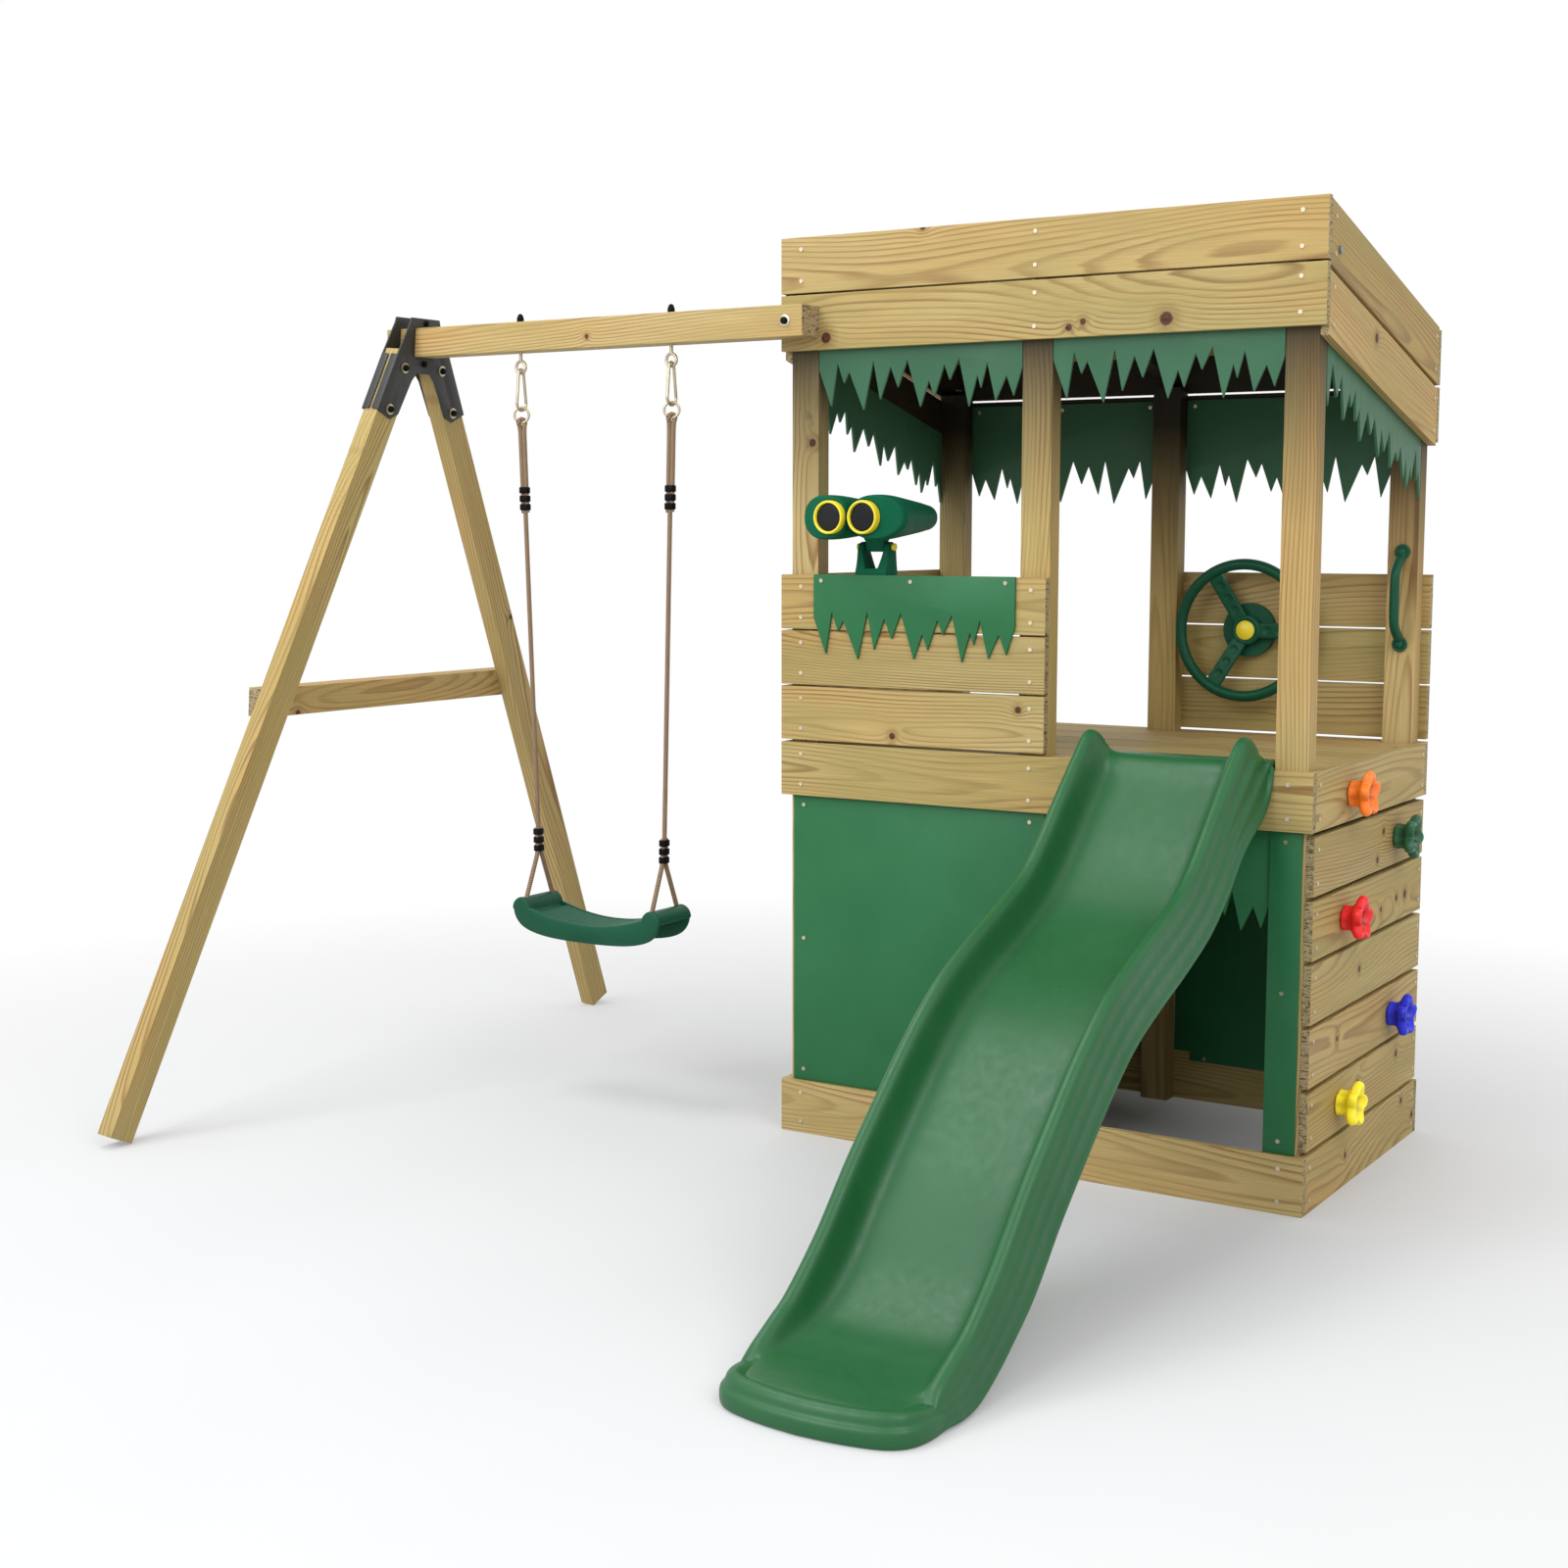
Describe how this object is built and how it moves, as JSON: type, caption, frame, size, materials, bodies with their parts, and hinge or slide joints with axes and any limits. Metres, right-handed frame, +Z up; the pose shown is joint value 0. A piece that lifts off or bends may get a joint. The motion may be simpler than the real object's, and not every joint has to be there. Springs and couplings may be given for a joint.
{
  "type": "timber play tower with climbing wall",
  "caption": "Timber play tower with a roof, a climbing wall end with moulded holds, a slide, a swing on an A-frame arm, toy binoculars and a steering wheel.",
  "frame": {"origin": "centre of the underside of the middle front post, on the ground", "axes": "+Z up; the slide comes out towards -Y; the climbing wall faces +X and the swing arm runs to -X"},
  "size_m": [2.4957, 2.3352, 2.005],
  "materials": {
    "timber": "planed, pressure-treated softwood",
    "panel_green": "satin sheet",
    "slide_green": "semi-gloss moulded",
    "grey_steel": "powder coated",
    "zinc_steel": "yellow zinc plated",
    "orange_plastic": "moulded",
    "red_plastic": "moulded",
    "blue_plastic": "moulded",
    "yellow_plastic": "moulded",
    "dark_green_plastic": "moulded",
    "lens_black": "polished",
    "rope_fibre": "twisted polyethylene",
    "black_plastic": "moulded"
  },
  "bodies": {
    "tower": {"front_post_left": "timber", "front_post_middle": "timber", "front_post_right": "timber", "rear_posts": "timber", "base_planks": "timber", "climb_plank_1": "timber", "climb_plank_2": "timber", "climb_plank_3": "timber", "climb_plank_4": "timber", "climb_plank_5": "timber", "climb_plank_6": "timber", "climb_plank_7": "timber", "deck_edge_planks": "timber", "deck_boards": "timber", "deck_joists": "timber", "window_planks": "timber", "rear_rail_planks": "timber", "left_rail_planks": "timber", "front_fascia_planks": "timber", "rear_fascia_planks": "timber", "side_fascia_planks": "timber", "roof_boards": "timber", "roof_rafters": "timber", "swing_beam": "timber", "swing_leg_front": "timber", "swing_leg_rear": "timber", "leg_crossbar": "timber", "front_panel": "panel_green", "front_strip": "panel_green", "rear_panels": "panel_green", "left_panel": "panel_green", "window_leaf_panel": "panel_green", "front_leaf_panels": "panel_green", "rear_leaf_panels": "panel_green", "side_leaf_panels": "panel_green", "door_leaf_panel": "panel_green", "slide": "slide_green", "apex_brackets": "grey_steel", "frame_bolts": "zinc_steel", "hold_bolts": "zinc_steel", "hanger_bolts": "zinc_steel", "plank_screws": "zinc_steel", "panel_screws": "zinc_steel", "hold_orange": "orange_plastic", "hold_green": "dark_green_plastic", "hold_red": "red_plastic", "hold_blue": "blue_plastic", "hold_yellow": "yellow_plastic", "binocular_bolt": "yellow_plastic", "binocular_bracket": "dark_green_plastic", "wheel_base": "dark_green_plastic", "grab_handle": "dark_green_plastic"},
    "swing": {"swing_links": "zinc_steel", "ropes": "rope_fibre", "rope_clamps": "black_plastic", "swing_seat": "dark_green_plastic"},
    "binoculars": {"binocular_body": "dark_green_plastic", "binocular_lenses": "lens_black"},
    "steering": {"steering_wheel": "dark_green_plastic", "wheel_cap": "yellow_plastic"}
  },
  "joints": [
    {"name": "swing_hinge", "type": "hinge", "parent": "tower", "child": "swing", "pos_m": [-1.1085, -0.074, 1.738], "axis": [1, 0, 0], "range_deg": [-45, 45]},
    {"name": "binocular_tilt", "type": "hinge", "parent": "tower", "child": "binoculars", "pos_m": [-0.388, -0.011, 1.333], "axis": [1, 0, 0], "range_deg": [-20, 20]},
    {"name": "wheel_turn", "type": "hinge", "parent": "tower", "child": "steering", "pos_m": [0.2025, 0.68, 1.139], "axis": [0, 1, 0], "continuous": true}
  ]
}
